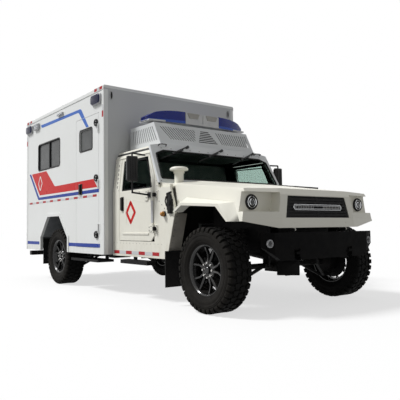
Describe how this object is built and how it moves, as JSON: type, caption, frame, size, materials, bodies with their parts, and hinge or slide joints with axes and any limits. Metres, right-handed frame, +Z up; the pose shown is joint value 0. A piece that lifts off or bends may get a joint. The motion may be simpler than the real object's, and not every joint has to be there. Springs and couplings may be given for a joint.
{
  "type": "ambulance truck",
  "caption": "Four-wheel-drive ambulance truck with a sloped bonnet, slotted cab-roof shroud, light bar and a white box body with side and rear doors.",
  "frame": {"origin": "on the ground under the middle of the vehicle's length and width", "axes": "+X forwards, +Y to the vehicle's left, +Z up"},
  "size_m": [6.235, 2.744, 2.958],
  "materials": {
    "body_paint": "gloss off-white",
    "box_paint": "gloss white",
    "chassis": "matt black",
    "black_trim": "satin black",
    "rim": "gloss black",
    "tyre": "matt",
    "rubber": "matt",
    "glass": "tinted",
    "lamp_glass": "clear",
    "blue_lens": "translucent blue",
    "lamp_housing": "grey",
    "amber": "amber",
    "red_lens": "translucent red",
    "grey_paint": "light grey satin",
    "engine": "cast",
    "floor": "non-slip grey",
    "seat": "dark"
  },
  "bodies": {
    "chassis": {"frame": "chassis", "suspension": "chassis", "driveline": "engine", "front_bumper": "black_trim", "steps": "black_trim", "cab_tub": "body_paint", "cab_roof": "body_paint", "windscreen_frame": "body_paint", "windscreen": "glass", "roof_shroud": "grey_paint", "light_bar": "lamp_housing", "blue_lenses": "blue_lens", "beacon_housings": "lamp_housing", "turn_lamps": "amber", "work_lamps": "lamp_housing", "fog_lamps": "lamp_glass", "rear_lamps": "red_lens", "latches": "black_trim", "wipers": "black_trim", "fuel_tank": "chassis", "box_window_frames": "black_trim", "air_intake": "body_paint", "mud_flaps": "rubber", "seats": "seat", "dashboard": "black_trim", "box_floor": "floor", "box_front_wall": "box_paint", "box_left_wall": "box_paint", "box_right_wall": "box_paint", "box_roof": "box_paint", "box_rear_frame": "box_paint", "box_windows": "glass"},
    "bonnet": {"bonnet": "body_paint", "grille": "black_trim", "headlamps": "lamp_glass", "bonnet_vent": "black_trim"},
    "cab_door_left": {"cab_door_left": "body_paint", "cab_door_glass_left": "glass", "mirror_left": "black_trim"},
    "cab_door_right": {"cab_door_right": "body_paint", "cab_door_glass_right": "glass", "mirror_right": "black_trim"},
    "side_door": {"side_door": "box_paint", "side_door_glass": "glass", "side_door_trim": "black_trim"},
    "rear_door_left": {"rear_door_left": "box_paint", "rear_door_glass_left": "glass"},
    "rear_door_right": {"rear_door_right": "box_paint", "rear_door_glass_right": "glass"},
    "knuckle_left": {"knuckle_left": "chassis"},
    "knuckle_right": {"knuckle_right": "chassis"},
    "wheel_front_right": {"rim_front_right": "rim", "tyre_front_right": "tyre"},
    "wheel_front_left": {"rim_front_left": "rim", "tyre_front_left": "tyre"},
    "wheel_rear_right": {"rim_rear_right": "rim", "tyre_rear_right": "tyre"},
    "wheel_rear_left": {"rim_rear_left": "rim", "tyre_rear_left": "tyre"}
  },
  "joints": [
    {"name": "steer_right", "type": "hinge", "parent": "chassis", "child": "knuckle_right", "pos_m": [2.4375, -0.845, 0.46], "axis": [0, 0, 1], "range_deg": [-28, 28]},
    {"name": "steer_left", "type": "hinge", "parent": "chassis", "child": "knuckle_left", "pos_m": [2.4375, 0.845, 0.46], "axis": [0, 0, 1], "range_deg": [-28, 28]},
    {"name": "spin_front_right", "type": "hinge", "parent": "knuckle_right", "child": "wheel_front_right", "pos_m": [2.4375, -1.03, 0.46], "axis": [0, 1, 0], "continuous": true},
    {"name": "spin_front_left", "type": "hinge", "parent": "knuckle_left", "child": "wheel_front_left", "pos_m": [2.4375, 1.03, 0.46], "axis": [0, 1, 0], "continuous": true},
    {"name": "spin_rear_right", "type": "hinge", "parent": "chassis", "child": "wheel_rear_right", "pos_m": [-1.5525, -1.03, 0.46], "axis": [0, 1, 0], "continuous": true},
    {"name": "spin_rear_left", "type": "hinge", "parent": "chassis", "child": "wheel_rear_left", "pos_m": [-1.5525, 1.03, 0.46], "axis": [0, 1, 0], "continuous": true},
    {"name": "bonnet_tilt", "type": "hinge", "parent": "chassis", "child": "bonnet", "pos_m": [3.0495, 0, 0.879], "axis": [0, 1, 0], "range_deg": [0, 75]},
    {"name": "cab_door_left_hinge", "type": "hinge", "parent": "chassis", "child": "cab_door_left", "pos_m": [1.3405, 1.096, 1.1], "axis": [0, 0, -1], "range_deg": [0, 75]},
    {"name": "cab_door_right_hinge", "type": "hinge", "parent": "chassis", "child": "cab_door_right", "pos_m": [1.3405, -1.096, 1.1], "axis": [0, 0, 1], "range_deg": [0, 75]},
    {"name": "side_door_hinge", "type": "hinge", "parent": "chassis", "child": "side_door", "pos_m": [0.07, -1.223, 1.6], "axis": [0, 0, 1], "range_deg": [0, 100]},
    {"name": "rear_door_left_hinge", "type": "hinge", "parent": "chassis", "child": "rear_door_left", "pos_m": [-2.9965, 1.117, 1.7], "axis": [0, 0, -1], "range_deg": [0, 110]},
    {"name": "rear_door_right_hinge", "type": "hinge", "parent": "chassis", "child": "rear_door_right", "pos_m": [-2.9965, -1.117, 1.7], "axis": [0, 0, 1], "range_deg": [0, 110]}
  ],
  "couplings": [
    {"joint": "steer_left", "follows": "steer_right", "ratio": 1}
  ]
}
